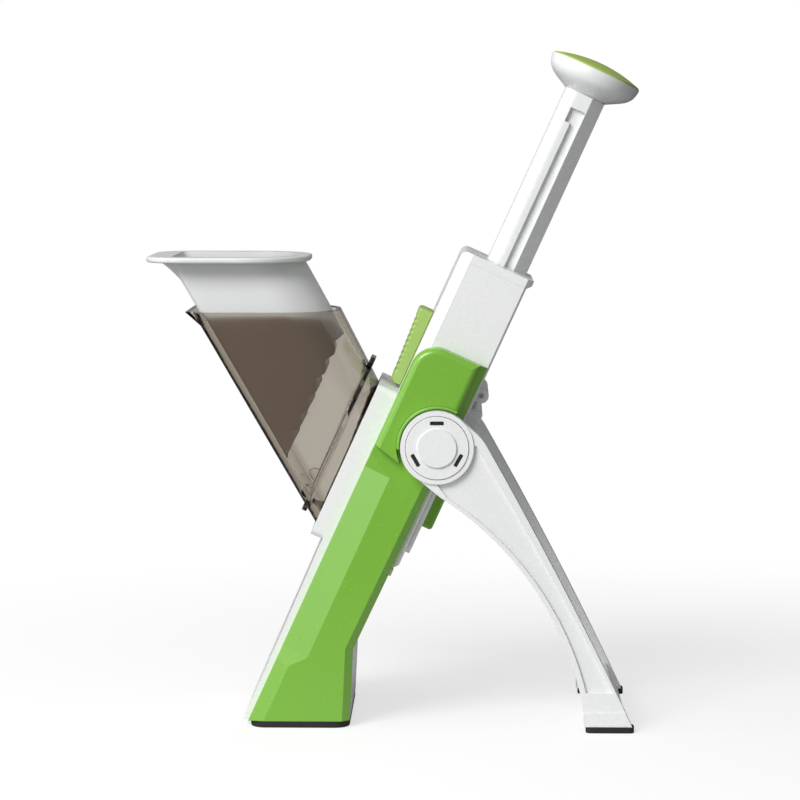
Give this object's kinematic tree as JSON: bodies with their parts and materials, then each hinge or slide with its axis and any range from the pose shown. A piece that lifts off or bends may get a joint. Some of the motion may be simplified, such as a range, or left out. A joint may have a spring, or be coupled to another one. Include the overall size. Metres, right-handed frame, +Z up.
{
  "type": "mandoline slicer",
  "caption": "Upright mandoline slicer: a leaning tower with a sprung press handle, a smoke-clear feed chute, a toothed food pusher, a cleaning door and folding legs.",
  "frame": {"origin": "centre of the tower's foot on the floor", "axes": "+X from the feed chute towards the legs, +Y to the left of a user who stands at the chute, +Z up"},
  "size_m": [0.2952, 0.129, 0.4035],
  "materials": {
    "white_plastic": "smooth white",
    "green_plastic": "smooth leaf green",
    "smoke_clear_plastic": "clear smoke",
    "stainless_steel": "brushed",
    "spring_steel": "drawn wire",
    "pale_grey_plastic": "fine matte",
    "black_rubber": "matte black"
  },
  "bodies": {
    "tower": {"base_pad": "black_rubber", "door_hinge_pin": "stainless_steel", "front_panel": "white_plastic", "left_cover": "green_plastic", "left_guide_rod": "stainless_steel", "left_hub_cap": "white_plastic", "left_leg_pivot": "white_plastic", "left_return_spring": "spring_steel", "right_cover": "green_plastic", "right_guide_rod": "stainless_steel", "right_hub_cap": "white_plastic", "right_leg_pivot": "white_plastic", "right_return_spring": "spring_steel", "sleeve_collar": "white_plastic", "tower_core": "white_plastic"},
    "plunger": {"push_rod": "white_plastic", "handle_shell": "white_plastic", "handle_pad": "green_plastic", "blade_carriage": "pale_grey_plastic", "rod_pin": "stainless_steel", "feed_plate": "stainless_steel", "slicing_blade": "stainless_steel", "thickness_plate": "pale_grey_plastic"},
    "legs": {"right_leg": "white_plastic", "left_leg": "white_plastic", "leg_tie": "white_plastic", "right_foot_pad": "black_rubber", "left_foot_pad": "black_rubber"},
    "chute": {"feed_chute": "smoke_clear_plastic"},
    "pusher": {"food_pusher": "white_plastic"},
    "chute_catch": {"chute_latch": "green_plastic"},
    "door": {"rear_door": "white_plastic"},
    "door_catch": {"door_latch": "green_plastic"}
  },
  "joints": [
    {"name": "handle_press", "type": "slide", "parent": "tower", "child": "plunger", "axis": [-0.4147, 0, -0.91], "range_m": [0, 0.1], "stiffness_N_per_m": 80, "springref_m": -0.05, "deforming": ["right_return_spring", "left_return_spring"]},
    {"name": "leg_fold", "type": "hinge", "parent": "tower", "child": "legs", "pos_m": [0.082, 0, 0.17], "axis": [0, 1, 0], "range_deg": [0, 46]},
    {"name": "chute_release", "type": "slide", "parent": "tower", "child": "chute", "axis": [-0.91, 0, 0.4147], "range_m": [0, 0.06]},
    {"name": "pusher_slide", "type": "slide", "parent": "chute", "child": "pusher", "axis": [0.4996, 0, -0.8663], "range_m": [-0.06, 0.032]},
    {"name": "chute_catch_slide", "type": "slide", "parent": "tower", "child": "chute_catch", "axis": [0.4147, 0, 0.91], "range_m": [0, 0.008]},
    {"name": "door_hinge", "type": "hinge", "parent": "tower", "child": "door", "pos_m": [0.10815, 0, 0.1982], "axis": [0, -1, 0], "range_deg": [0, 60]},
    {"name": "door_catch_slide", "type": "slide", "parent": "door", "child": "door_catch", "axis": [0.4147, 0, 0.91], "range_m": [0, 0.005]}
  ]
}
